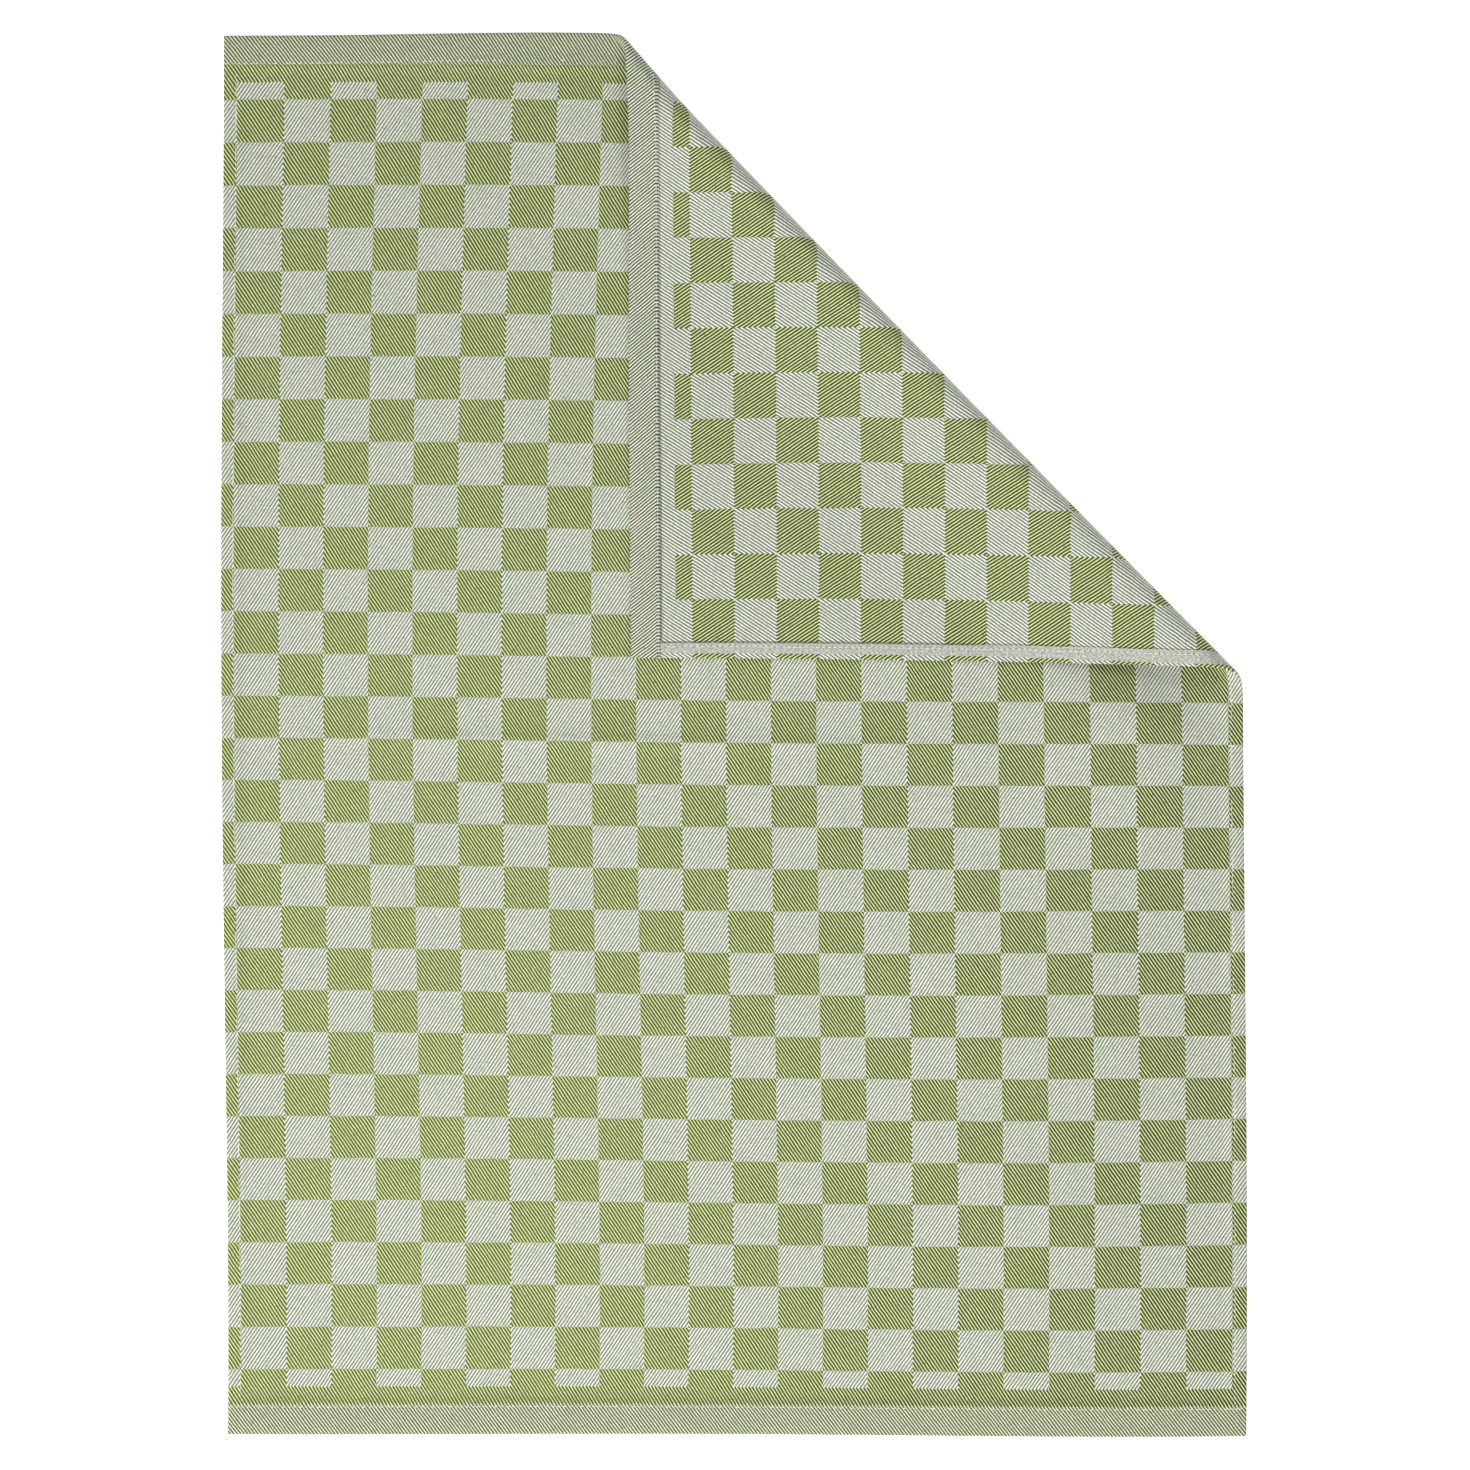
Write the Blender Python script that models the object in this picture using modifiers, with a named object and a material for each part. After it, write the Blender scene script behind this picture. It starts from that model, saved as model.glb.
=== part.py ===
"""Checked cotton tea towel, lying face up with its top right corner folded over to the face.

The towel is one sheet.  It is drawn flat in cloth coordinates, u across and v along, cut along its hems
and along the fold, and then every point is carried to where the cloth lies.  The drawn surface is the
reverse of the cloth, which lies on the table at z = 0, and Solidify gives it its thickness towards the face.
Metres, +Z up, +Y towards the top end of the towel.  The origin is under the middle of the whole shape.
"""

import math
from collections import namedtuple

import bmesh
import bpy

MM = 0.001

# The flat towel.
WIDTH = 510 * MM
LENGTH = 700 * MM
END_HEM = 14.5 * MM     # turned twice, three layers
SIDE_HEM = 7.5 * MM     # turned once, two layers
CLOTH_THICK = 1.2 * MM
SIDE_HEM_THICK = 1.9 * MM
END_HEM_THICK = 2.4 * MM
HEM_SLOPE = 1.5 * MM    # the thickness drops to one layer over this much cloth

# The top hem is wider where the fold starts and narrower past it: a row for each place across the cloth.
Spread = namedtuple("Spread", "across wider")
TOP_HEM_SPREAD = (
    Spread(30 * MM, 0 * MM),
    Spread(180 * MM, 2 * MM),
    Spread(260 * MM, -0.6 * MM),
    Spread(510 * MM, -0.6 * MM),
)

# The fold: a soft roll along a slanting line, then a flap that slopes down and lies on the towel.
FOLD_NORMAL = math.radians(44.24)   # direction in plan that the roll bulges towards
FOLD_START = 621 * MM               # from the lower left corner to where the cloth leaves the table
FOLD_BOW = 1.2 * MM                 # the middle of the fold lies this much further in than its ends
ROLL_OUTER = 7.9 * MM               # radius of the outside of the roll
ROLL_PINCH = 3.9 * MM               # the roll is this much tighter at the top end, where the hem is pinched
PINCH_REACH = 0.14                  # share of the fold over which the roll opens up
LIFT_AT_TOP = math.radians(15.5)    # how steeply the flap comes down from the roll, at the top end
LIFT_AT_SIDE = math.radians(9.5)    # and at the end on the right edge
LANDING_AT_TOP = 300 * MM           # radius of the curve in which the flap meets the towel, at both ends
LANDING_AT_SIDE = 150 * MM
LANDING_SHARE = 0.9                 # that curve takes at most this share of the way down
LAYER_GAP = 0.5 * MM                # between the flap and the towel under it

Fold = namedtuple("Fold", "lift landing pinch")

# How the weave is pulled out of square, in plan: a row for each height up the towel.
Pull = namedtuple("Pull", "height left left_middle middle right_middle right")
PULL_ACROSS = (
    Pull(0 * MM, 2.0 * MM, 1.0 * MM, -0.5 * MM, -0.5 * MM, 1.0 * MM),
    Pull(180 * MM, 1.0 * MM, 0.5 * MM, -1.0 * MM, -1.0 * MM, 1.0 * MM),
    Pull(350 * MM, -1.0 * MM, -2.5 * MM, -3.5 * MM, -3.0 * MM, -0.5 * MM),
    Pull(520 * MM, -1.0 * MM, -1.5 * MM, -2.5 * MM, -3.0 * MM, -1.0 * MM),
    Pull(700 * MM, 0.0 * MM, 3.5 * MM, 3.0 * MM, 3.5 * MM, 1.5 * MM),
)
PULL_ALONG = (
    Pull(0 * MM, 0.5 * MM, 0.5 * MM, 0.5 * MM, -0.5 * MM, -0.5 * MM),
    Pull(180 * MM, -0.5 * MM, -1.0 * MM, -2.5 * MM, -3.0 * MM, -2.0 * MM),
    Pull(350 * MM, -2.0 * MM, -3.0 * MM, -4.5 * MM, -5.0 * MM, -5.5 * MM),
    Pull(520 * MM, -2.5 * MM, -2.5 * MM, -4.0 * MM, -6.5 * MM, -9.0 * MM),
    Pull(700 * MM, -0.5 * MM, -0.5 * MM, -2.5 * MM, -6.5 * MM, -11.0 * MM),
)

# Soft ridges in plan, each with a width for either side: the crease from lying folded in half, the foot of
# the roll, the rise on the right and the curl of the left edge.
Ridge = namedtuple("Ridge", "x y turn half_length near_width far_width height")
RIDGES = (
    Ridge(203 * MM, 347 * MM, math.radians(-1), 260 * MM, 13 * MM, 13 * MM, 1.0 * MM),
    Ridge(505 * MM, 372 * MM, math.radians(-46), 45 * MM, 24 * MM, 24 * MM, 1.6 * MM),
    Ridge(405 * MM, 200 * MM, math.radians(90), 260 * MM, 100 * MM, 110 * MM, 3.0 * MM),
    Ridge(0 * MM, 350 * MM, math.radians(90), 430 * MM, 24 * MM, 24 * MM, 2.2 * MM),
)
# Beside the flap at both ends of the fold the lower cloth alone bulges and falls to the roll.
BULGES = (
    Ridge(447 * MM, 361 * MM, math.radians(-23), 66 * MM, 85 * MM, 33 * MM, 6.3 * MM),
    Ridge(187 * MM, 646 * MM, math.radians(90), 62 * MM, 24 * MM, 45 * MM, 2.2 * MM),
)

# How finely the sheet is cut.
CELLS_ACROSS = 30
CELLS_ALONG = 40
CREASE_PLACE = 351 * MM
CREASE_CUTS = (-13 * MM, -8 * MM, -4 * MM, 0 * MM, 4 * MM, 8 * MM, 13 * MM)
ROLL_STEPS = 12
LANDING_STEPS = 4

FOLD_ACROSS = math.cos(FOLD_NORMAL)
FOLD_ALONG = math.sin(FOLD_NORMAL)
ROLL_MIDDLE = ROLL_OUTER - CLOTH_THICK / 2


def ease(value):
    """0 below 0, 1 above 1 and smooth between."""
    value = min(1.0, max(0.0, value))
    return value * value * (3 - 2 * value)


def through(places, values, at):
    """The smooth curve through a value at each place, read at one place."""
    total = 0.0
    for i, (place, value) in enumerate(zip(places, values)):
        weight = 1.0
        for j, other in enumerate(places):
            if j != i:
                weight *= (at - other) / (place - other)
        total += weight * value
    return total


def pull(table, u, v):
    """One component of the pull at a point of the cloth."""
    across = [WIDTH * i / 4 for i in range(5)]
    rows = [through(across, row[1:], u) for row in table]
    return through([row[0] for row in table], rows, v)


def hem_spread(u):
    """How much wider the top hem is here."""
    wider = TOP_HEM_SPREAD[0].wider
    for row, following in zip(TOP_HEM_SPREAD, TOP_HEM_SPREAD[1:]):
        wider += (following.wider - row.wider) * ease((u - row.across) / (following.across - row.across))
    return wider


def plan(u, v):
    """Where a point of the cloth lies before the corner is folded."""
    in_top_hem = max(0.0, v - (LENGTH - END_HEM)) / END_HEM
    return u + pull(PULL_ACROSS, u, v), v + pull(PULL_ALONG, u, v) + hem_spread(u) * in_top_hem


def thickness(u, v):
    """Thickness of the cloth with its hem layers."""

    def rise(edge_distance, hem, thick):
        share = min(1.0, max(0.0, (hem + HEM_SLOPE - edge_distance) / HEM_SLOPE))
        return CLOTH_THICK + share * (thick - CLOTH_THICK)

    side = rise(min(u, WIDTH - u), SIDE_HEM, SIDE_HEM_THICK)
    end = rise(min(v, LENGTH - v), END_HEM, END_HEM_THICK)
    return max(side, end)


def ridge_height(ridge, x, y):
    """How high one ridge is at this place in plan."""
    dx, dy = x - ridge.x, y - ridge.y
    along = (dx * math.cos(ridge.turn) + dy * math.sin(ridge.turn)) / ridge.half_length
    across = dy * math.cos(ridge.turn) - dx * math.sin(ridge.turn)
    across /= ridge.far_width if across > 0 else ridge.near_width
    if abs(along) >= 1 or abs(across) >= 1:
        return 0.0
    return ridge.height * (1 - along**2) ** 2 * math.cos(across * math.pi / 2) ** 2


def relief(x, y, in_flap):
    """How high the cloth is lifted at this place in plan: in_flap is 0 on the lower cloth, 1 on the flap."""
    height = sum(ridge_height(ridge, x, y) for ridge in RIDGES)
    return height + (1 - in_flap) * sum(ridge_height(bulge, x, y) for bulge in BULGES)


def along_fold(x, y):
    """Place along the fold, from 0 at the top end of the towel to 1 at its right edge."""
    top_x = (FOLD_START - LENGTH * FOLD_ALONG) / FOLD_ACROSS
    side_y = (FOLD_START - WIDTH * FOLD_ACROSS) / FOLD_ALONG
    start = top_x * FOLD_ALONG - LENGTH * FOLD_ACROSS
    end = WIDTH * FOLD_ALONG - side_y * FOLD_ACROSS
    return min(1.0, max(0.0, (x * FOLD_ALONG - y * FOLD_ACROSS - start) / (end - start)))


def fold_at(way):
    """How the cloth is folded at a place along the fold."""
    lift = LIFT_AT_TOP + (LIFT_AT_SIDE - LIFT_AT_TOP) * way
    landing = LANDING_AT_TOP + (LANDING_AT_SIDE - LANDING_AT_TOP) * way
    return Fold(lift, landing, ROLL_PINCH * (1 - ease(way / PINCH_REACH)))


def fold_lengths(thick, fold):
    """Lengths of cloth in the roll, in the slope and in the landing curve, and that curve's radius."""
    drop = (ROLL_OUTER - fold.pinch) * (1 + math.cos(fold.lift)) - (CLOTH_THICK + LAYER_GAP + thick)
    radius = min(fold.landing, LANDING_SHARE * drop / (1 - math.cos(fold.lift)))
    slope = (drop - radius * (1 - math.cos(fold.lift))) / math.sin(fold.lift)
    return (math.pi + fold.lift) * (ROLL_MIDDLE - fold.pinch), slope, radius * fold.lift, radius


def fold_profile(s, thick, fold):
    """How far past the fold's start, and how high, the reverse face lies s along the cloth from it."""
    if s <= 0:
        return s, 0.0
    roll, slope, landing, radius = fold_lengths(thick, fold)
    rest = CLOTH_THICK + LAYER_GAP + thick
    turn = min(s, roll) / (ROLL_MIDDLE - fold.pinch)
    past = (ROLL_OUTER - fold.pinch) * math.sin(turn)
    height = (ROLL_OUTER - fold.pinch) * (1 - math.cos(turn))
    if s > roll:
        down = min(s - roll, slope)
        past -= down * math.cos(fold.lift)
        height -= down * math.sin(fold.lift)
    if s > roll + slope:
        turn = fold.lift - min(s - roll - slope, landing) / radius
        past -= radius * (math.sin(fold.lift) - math.sin(turn))
        height = rest + radius * (1 - math.cos(turn))
    if s > roll + slope + landing:
        past -= s - roll - slope - landing
    return past, height


def folded(u, v):
    """Where a point of the reverse face lies on the folded towel."""
    x, y = plan(u, v)
    way = along_fold(x, y)
    fold = fold_at(way)
    start = FOLD_START - 4 * FOLD_BOW * way * (1 - way) + math.pi / 2 * fold.pinch
    s = x * FOLD_ACROSS + y * FOLD_ALONG - start
    past, z = fold_profile(s, thickness(u, v), fold)
    turned = min(1.0, max(0.0, s / (math.pi * (ROLL_MIDDLE - fold.pinch))))
    x, y = x + (past - s) * FOLD_ACROSS, y + (past - s) * FOLD_ALONG
    return x, y, z + relief(x, y, turned)


def cut(sheet, point, normal):
    """Cuts the flat sheet along a line."""
    everything = sheet.verts[:] + sheet.edges[:] + sheet.faces[:]
    bmesh.ops.bisect_plane(
        sheet, geom=everything, dist=1e-6, plane_co=(*point, 0), plane_no=(*normal, 0)
    )


def fold_cuts():
    """Distances past the fold's start at which the sheet is cut along the fold."""
    roll, slope, landing, _ = fold_lengths(CLOTH_THICK, fold_at(0.5))
    cuts = [roll * i / ROLL_STEPS for i in range(ROLL_STEPS + 1)]
    cuts += [roll + slope + landing * i / LANDING_STEPS for i in range(LANDING_STEPS + 1)]
    return cuts


def towel_sheet():
    """The reverse face of the towel, cut flat and then folded, with the thickness as vertex weights."""
    sheet = bmesh.new()
    bmesh.ops.create_grid(sheet, x_segments=CELLS_ACROSS, y_segments=CELLS_ALONG, size=0.5)
    for vert in sheet.verts:
        vert.co.x = (vert.co.x + 0.5) * WIDTH
        vert.co.y = (vert.co.y + 0.5) * LENGTH
    for hem in (SIDE_HEM, SIDE_HEM + HEM_SLOPE):
        cut(sheet, (hem, 0), (1, 0))
        cut(sheet, (WIDTH - hem, 0), (1, 0))
    for hem in (END_HEM, END_HEM + HEM_SLOPE):
        cut(sheet, (0, hem), (0, 1))
        cut(sheet, (0, LENGTH - hem), (0, 1))
    for offset in CREASE_CUTS:
        cut(sheet, (0, CREASE_PLACE + offset), (0, 1))
    for past in fold_cuts():
        reach = FOLD_START + past
        cut(sheet, (reach * FOLD_ACROSS, reach * FOLD_ALONG), (FOLD_ACROSS, FOLD_ALONG))
    return sheet


def build_towel(collection):
    sheet = towel_sheet()
    weights = []
    for vert in sheet.verts:
        u, v = vert.co.x, vert.co.y
        weights.append((thickness(u, v) - CLOTH_THICK) / (END_HEM_THICK - CLOTH_THICK))
        vert.co = folded(u, v)
    middle = [
        (min(vert.co[axis] for vert in sheet.verts) + max(vert.co[axis] for vert in sheet.verts)) / 2
        for axis in (0, 1)
    ]
    bmesh.ops.translate(sheet, verts=sheet.verts, vec=(-middle[0], -middle[1], 0))
    mesh = bpy.data.meshes.new("towel")
    sheet.to_mesh(mesh)
    sheet.free()
    mesh.shade_smooth()
    mesh.set_sharp_from_angle(angle=math.radians(30))
    towel = bpy.data.objects.new("towel", mesh)
    collection.objects.link(towel)
    hem = towel.vertex_groups.new(name="hem layers")
    for index, weight in enumerate(weights):
        hem.add([index], weight, "REPLACE")
    solidify = towel.modifiers.new("cloth", "SOLIDIFY")
    solidify.thickness = END_HEM_THICK
    solidify.offset = 1
    solidify.use_even_offset = True
    solidify.vertex_group = hem.name
    solidify.thickness_vertex_group = CLOTH_THICK / END_HEM_THICK
    return towel


def cotton_twill():
    material = bpy.data.materials.new("green and cream cotton twill")
    material.use_nodes = True
    shader = material.node_tree.nodes["Principled BSDF"]
    shader.inputs["Base Color"].default_value = (0.39, 0.44, 0.25, 1)
    shader.inputs["Roughness"].default_value = 0.9
    shader.inputs["Metallic"].default_value = 0
    return material


def main():
    for thing in list(bpy.data.objects):
        bpy.data.objects.remove(thing)
    collection = bpy.data.collections.new("tea towel")
    bpy.context.scene.collection.children.link(collection)
    towel = build_towel(collection)
    towel.data.materials.append(cotton_twill())


main()
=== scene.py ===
"""Looks of the checked cotton tea towel, lying face up with its top right corner folded over to the face.

The cloth is drawn flat in cloth coordinates, u across and v along from the lower left corner, and every
point is carried to where it lies.  It has a face and a reverse, a short wall that joins them, and turned
hems with their seams.  The weave is a material that reads u and v from the UV map, in metres of cloth, with
the shade of its furrows and threads painted into its colour.
"""

import math
from collections import namedtuple

import bmesh
import bpy
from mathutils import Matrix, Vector, noise


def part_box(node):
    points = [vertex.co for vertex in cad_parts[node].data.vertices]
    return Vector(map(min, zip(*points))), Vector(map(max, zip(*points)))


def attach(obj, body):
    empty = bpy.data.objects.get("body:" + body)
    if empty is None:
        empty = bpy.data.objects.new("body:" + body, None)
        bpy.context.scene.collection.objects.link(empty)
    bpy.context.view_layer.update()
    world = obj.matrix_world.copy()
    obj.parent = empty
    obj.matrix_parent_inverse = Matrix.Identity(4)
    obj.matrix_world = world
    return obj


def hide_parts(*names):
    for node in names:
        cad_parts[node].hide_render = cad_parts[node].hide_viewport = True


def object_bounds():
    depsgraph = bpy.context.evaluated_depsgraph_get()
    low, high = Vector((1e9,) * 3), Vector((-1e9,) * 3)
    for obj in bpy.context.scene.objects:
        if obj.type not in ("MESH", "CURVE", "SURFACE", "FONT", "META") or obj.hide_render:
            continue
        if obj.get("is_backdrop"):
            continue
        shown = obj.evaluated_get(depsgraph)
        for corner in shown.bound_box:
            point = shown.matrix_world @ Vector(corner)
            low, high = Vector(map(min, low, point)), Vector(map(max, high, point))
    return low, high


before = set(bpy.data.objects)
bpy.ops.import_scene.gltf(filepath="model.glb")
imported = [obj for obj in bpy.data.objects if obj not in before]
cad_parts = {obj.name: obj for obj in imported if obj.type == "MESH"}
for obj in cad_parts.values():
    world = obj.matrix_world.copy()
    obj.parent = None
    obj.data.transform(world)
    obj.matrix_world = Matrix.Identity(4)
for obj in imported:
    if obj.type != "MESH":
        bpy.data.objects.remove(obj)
cad_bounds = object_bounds()

MM = 0.001

# The flat towel.
WIDTH = 510 * MM
LENGTH = 700 * MM
END_TURN = 15.2 * MM    # the end hem, turned twice to the reverse
SIDE_TURN = 7.6 * MM    # the side hem, turned once to the reverse, its selvedge showing there
END_SEAM = 13.8 * MM    # seam lines, from the edge
SIDE_SEAM = 5.9 * MM
CLOTH_THICK = 1.2 * MM
SIDE_HEM_THICK = 1.9 * MM
END_HEM_THICK = 2.4 * MM
FACE_SLOPE = 4.0 * MM   # the face falls softly from a hem to the single cloth
TURN_SLOPE = 0.45 * MM  # the reverse drops sharply off the turned edge
SEAM_DEPTH = 0.22 * MM  # how far a seam draws each side of the cloth in
SEAM_HALF_WIDTH = 0.9 * MM
EDGE_ROUNDING = 0.8     # a turned edge is rounded by this share of half its thickness

# The top hem is wider where the fold starts and narrower past it: a row for each place across the cloth.
Spread = namedtuple("Spread", "across wider")
TOP_HEM_SPREAD = (
    Spread(30 * MM, 0 * MM),
    Spread(180 * MM, 2 * MM),
    Spread(260 * MM, -0.6 * MM),
    Spread(510 * MM, -0.6 * MM),
)

# The fold.
FOLD_NORMAL = math.radians(44.24)
FOLD_START = 621 * MM
FOLD_BOW = 1.2 * MM     # the middle of the fold lies this much further in than its ends
ROLL_OUTER = 7.9 * MM
ROLL_PINCH = 3.9 * MM   # the roll is this much tighter at the top end, where the hem is pinched flat
PINCH_REACH = 0.14      # share of the fold over which it opens up
LIFT_AT_TOP = math.radians(15.5)    # how steeply the flap comes down from the roll, at the top end
LIFT_AT_SIDE = math.radians(9.5)    # and at the end on the right edge
LANDING_AT_TOP = 300 * MM           # radius of the curve in which the flap meets the towel, at both ends
LANDING_AT_SIDE = 150 * MM
LANDING_SHARE = 0.9                 # that curve takes at most this share of the way down
LAYER_GAP = 0.5 * MM
FOLD_ACROSS = math.cos(FOLD_NORMAL)
FOLD_ALONG = math.sin(FOLD_NORMAL)
ROLL_MIDDLE = ROLL_OUTER - CLOTH_THICK / 2

Fold = namedtuple("Fold", "lift landing pinch")

# How the weave is pulled out of square, in plan: a row for each height up the towel.
Pull = namedtuple("Pull", "height left left_middle middle right_middle right")
PULL_PLACES = [WIDTH * i / 4 for i in range(5)]     # across the cloth, from left to right
PULL_ACROSS = (
    Pull(0 * MM, 2.0 * MM, 1.0 * MM, -0.5 * MM, -0.5 * MM, 1.0 * MM),
    Pull(180 * MM, 1.0 * MM, 0.5 * MM, -1.0 * MM, -1.0 * MM, 1.0 * MM),
    Pull(350 * MM, -1.0 * MM, -2.5 * MM, -3.5 * MM, -3.0 * MM, -0.5 * MM),
    Pull(520 * MM, -1.0 * MM, -1.5 * MM, -2.5 * MM, -3.0 * MM, -1.0 * MM),
    Pull(700 * MM, 0.0 * MM, 3.5 * MM, 3.0 * MM, 3.5 * MM, 1.5 * MM),
)
PULL_ALONG = (
    Pull(0 * MM, 0.5 * MM, 0.5 * MM, 0.5 * MM, -0.5 * MM, -0.5 * MM),
    Pull(180 * MM, -0.5 * MM, -1.0 * MM, -2.5 * MM, -3.0 * MM, -2.0 * MM),
    Pull(350 * MM, -2.0 * MM, -3.0 * MM, -4.5 * MM, -5.0 * MM, -5.5 * MM),
    Pull(520 * MM, -2.5 * MM, -2.5 * MM, -4.0 * MM, -6.5 * MM, -9.0 * MM),
    Pull(700 * MM, -0.5 * MM, -0.5 * MM, -2.5 * MM, -6.5 * MM, -11.0 * MM),
)

# Soft ridges in plan, each with a width for either side: the crease from lying folded in half and its sharp
# crest, the foot of the roll, the rise on the right, the curl of the left edge, and the swells of a cloth
# that isn't ironed.
Ridge = namedtuple("Ridge", "x y turn half_length near_width far_width height")
RIDGES = (
    Ridge(203 * MM, 347 * MM, math.radians(-1), 260 * MM, 13 * MM, 13 * MM, 0.5 * MM),
    Ridge(203 * MM, 347 * MM, math.radians(-1), 260 * MM, 8 * MM, 5 * MM, 0.9 * MM),
    Ridge(505 * MM, 372 * MM, math.radians(-46), 45 * MM, 24 * MM, 24 * MM, 1.6 * MM),
    Ridge(405 * MM, 200 * MM, math.radians(90), 260 * MM, 100 * MM, 110 * MM, 3.0 * MM),
    Ridge(-7 * MM, 350 * MM, math.radians(90), 430 * MM, 25 * MM, 25 * MM, 2.4 * MM),
    Ridge(120 * MM, 560 * MM, math.radians(78), 90 * MM, 30 * MM, 30 * MM, 0.7 * MM),
    Ridge(150 * MM, 170 * MM, math.radians(35), 110 * MM, 34 * MM, 34 * MM, 0.8 * MM),
    Ridge(400 * MM, 120 * MM, math.radians(-28), 100 * MM, 30 * MM, 30 * MM, 0.8 * MM),
)
# Beside the flap at both ends of the fold the lower cloth alone bulges and falls to the roll.
BULGES = (
    Ridge(447 * MM, 361 * MM, math.radians(-23), 66 * MM, 85 * MM, 30 * MM, 6.3 * MM),
    Ridge(187 * MM, 646 * MM, math.radians(90), 62 * MM, 24 * MM, 45 * MM, 2.2 * MM),
)
RUMPLE_HEIGHT = 0.5 * MM
RUMPLE_SIZE = 55 * MM
RUMPLE_SEED = 0.4
PUCKER_HEIGHT = 0.3 * MM    # small waves that the seams draw up
PUCKER_LENGTH = 11 * MM
PUCKER_REACH = 9 * MM
PUCKER_WANDER = 1.5         # the waves run ahead or behind by up to this many of them
WANDER_LENGTH = 4 * PUCKER_LENGTH
WANDER_SEED = 3.1
FADE_LENGTH = 6 * PUCKER_LENGTH     # over this length they fade and come back
FADE_SEED = 9.7

# The check: columns and rows of the weave.
FIRST_COLUMN = 6.8 * MM
LAST_COLUMN = 22
COLUMN = (WIDTH - 2 * FIRST_COLUMN) / LAST_COLUMN
FIRST_ROW = 33 * MM
ROW = 21.2 * MM
LAST_ROW = 30
BAND_LOW = (15.7 * MM, 24.2 * MM)
BAND_HIGH = (677.4 * MM, 686.0 * MM)

# Threads: 23 ends and 15 picks to the centimetre, in a twill that repeats on four of each.
END_PITCH = 0.4375 * MM
BODY_PICKS = 1012       # between the turned ends
HEM_PICK_PITCH = 0.57 * MM
TWILL_STEPS = 4
LADDER = 1.9 * MM       # at a seam on the reverse the twill lines run square to it for this far
CREST_WIDTH = 1.4       # above 1 the crests and furrows are flatter and the slopes between them steeper
WIDE_FLOATS = 0.28      # on the reverse the white floats are wider than their furrows
Furrow = namedtuple("Furrow", "warp weft")      # painted shade: how much darker the furrows are painted in green and in pale checks
FACE_FURROW_SHADE = Furrow(0.86, 0.7)
REVERSE_FURROW_SHADE = Furrow(0.98, 0.87)
HEM_FURROW_SHADE = (0.9, 0.97)            # on the face and on the reverse
FURROW_SHADE_GROWTH = (0.25, 0.07)   # painted shade in the furrows of the green checks on the face grows darker to the right and to the top end, as under lower light there
DARKEST = 0.03          # the painted shade leaves the furrows at least this share of the light
THREAD_SIDE_SHADE = 0.25      # how much darker a thread is painted at its sides, a painted shade of its rounding
THREAD_RELIEF = 0.12 * MM
SLUB_LENGTH = 14 * MM   # a thread changes its tone over this length, up to this much
SLUB_SHADE = 0.14
GRAIN = 0.16            # each crossing of two threads is up to this much lighter or darker
FLECKS = 0.0015         # share of the crossings that are dark flecks of the cotton
FLECK_SHADE = 0.5
BLEED = 0.4             # light between the threads mixes their colours by this share
HEM_GREEN = (0.29, 0.18)            # the turned ends show this little green, on the face and on the reverse
HEM_TINT = 0.38         # and this much more where the warp is up
DRIFT = 0.8 * MM        # the threads wander by this much
DRIFT_SIZE = 11 * MM
PATCH_SIZE = 14 * MM    # how far the thread keeps one tone
COOL_EDGE = 3.0         # how sharply the cool patches of the weft end
WRAP = (1.0 * MM, 2.1 * MM)         # face cloth that shows past the turned selvedge, least and most,
WRAP_SPAN = (430 * MM, 520 * MM)    # and where along the towel it grows
SPECKLE_SIZE = 1.1 * MM
SPECKLE = 2.6           # contrast of the selvedge's speckles
# the seam's needle holes on the reverse are painted dark, a painted shade
NEEDLE_HOLE = 0.7 * MM
HOLE_SHADE = 0.45
TURN_SHADE = 0.6        # the painted shade along a turned edge, and half its width
TURN_SHADE_REACH = 0.45 * MM

# Colours, as sRGB.
WARP_GREEN = "#BACC13"
WARP_OLIVE = "#B2C40F"
WEFT_WHITE = "#F6F4F2"
WEFT_COOL = "#ECF5EC"
SELVEDGE_WHITE = "#D2D2C8"
SELVEDGE_GREY = "#94948A"
THREAD_CREAM = "#F4F3EA"
THREAD_SHADE = "#DFDED2"
ACRYLIC_WHITES = ("#F4F4F3", "#F8F8F7")

# Lights: direction round the towel and above it, distance, size and power.
Light = namedtuple("Light", "name azimuth elevation distance size power")
LIGHTS = (
    Light("slanting key light", 235, 38, 6.0, 1.8, 252),
    Light("light across the fold", 45, 45, 4.0, 1.2, 31),
    Light("softbox above", 240, 66, 0.9, 0.6, 2.5),
)
ROOM_LIGHT = 0.32
FLOOR_SIZE = 12
MOTTLE_SIZE = 1 / 6     # metres, over which the floor changes a little in tone
GLOW = 0.6              # how strongly it is lit from below
FLOOR_GAP = 0.1 * MM    # it lies this far under the towel

# How finely the sheet is cut.
CELLS_ACROSS = 120
CELLS_ALONG = 164
CREASE_PLACE = 351 * MM     # the crease across the middle, cut more finely for this far on both sides
CREASE_REACH = 9 * MM
CREASE_STEPS = 12
ROLL_STEPS = 22
LANDING_STEPS = 6
EDGE_CUTS = (0.2 * MM, 0.6 * MM, 1.1 * MM)
SEAM_CUTS = (-0.9 * MM, -0.4 * MM, 0 * MM, 0.4 * MM, 0.9 * MM)
SAME_POINT = 1e-6       # a cut closer to a corner than this goes through it
SHARP_EDGE = math.radians(50)       # edges that turn more than this are shaded sharp

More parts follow.
